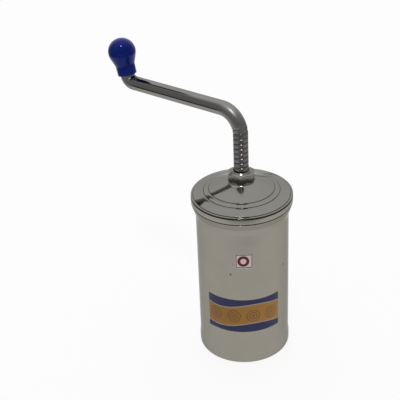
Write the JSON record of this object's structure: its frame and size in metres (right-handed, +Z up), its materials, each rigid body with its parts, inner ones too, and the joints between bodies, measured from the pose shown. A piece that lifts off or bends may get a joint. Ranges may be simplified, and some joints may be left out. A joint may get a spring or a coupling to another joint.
{
  "type": "hand-cranked sevai press",
  "caption": "Hand-cranked sevai press: flared steel barrel with a pierced die at its foot, a domed screw-on lid with a hexagonal nut, and a bent screw crank with a ball knob.",
  "frame": {"origin": "on the barrel's axis, in the plane that the foot stands on", "axes": "+Z up along the barrel and the screw, -Y towards the front, where the labels are, +X to the right"},
  "size_m": [0.1734, 0.1624, 0.294],
  "materials": {
    "satin_steel": "satin stainless steel sheet",
    "bright_steel": "polished steel, mirror-like and dark where it reflects",
    "plain_steel": "plain stainless steel",
    "knob_plastic": "glossy moulded plastic, deep blue",
    "label_print": "printed label, amber band between dark blue corners",
    "sticker_film": "clear-backed sticker with a red frame"
  },
  "bodies": {
    "barrel": {"barrel": "satin_steel", "mouth_thread_ring": "satin_steel", "die_plate": "plain_steel", "front_label": "label_print", "size_sticker": "sticker_film"},
    "lid": {"lid_dome": "satin_steel", "lid_thread_skirt": "satin_steel", "lid_nut": "bright_steel", "nut_backing_ring": "plain_steel"},
    "pressing_cup": {"pressing_cup": "plain_steel", "cup_hub": "plain_steel", "thrust_washer": "plain_steel"},
    "crank": {"crank_tube": "bright_steel", "screw_end_plug": "plain_steel", "swivel_bolt": "plain_steel", "knob_snap_ring": "plain_steel"},
    "knob": {"knob": "knob_plastic"}
  },
  "joints": [
    {"name": "lid_lift", "type": "slide", "parent": "barrel", "child": "lid", "axis": [0, 0, 1], "range_m": [0, 0.16]},
    {"name": "cup_feed", "type": "slide", "parent": "lid", "child": "pressing_cup", "axis": [0, 0, 1], "range_m": [-0.036, 0.104]},
    {"name": "crank_turn", "type": "hinge", "parent": "pressing_cup", "child": "crank", "pos_m": [0, 0, 0.05], "axis": [0, 0, 1], "range_deg": [-2590, 7480]},
    {"name": "knob_spin", "type": "hinge", "parent": "crank", "child": "knob", "pos_m": [-0.10546, 0.09496, 0.25], "axis": [-0.1672, 0.1505, 0.9744], "continuous": true}
  ],
  "couplings": [
    {"joint": "cup_feed", "follows": "crank_turn", "m_per_rad": 0.00079577}
  ]
}
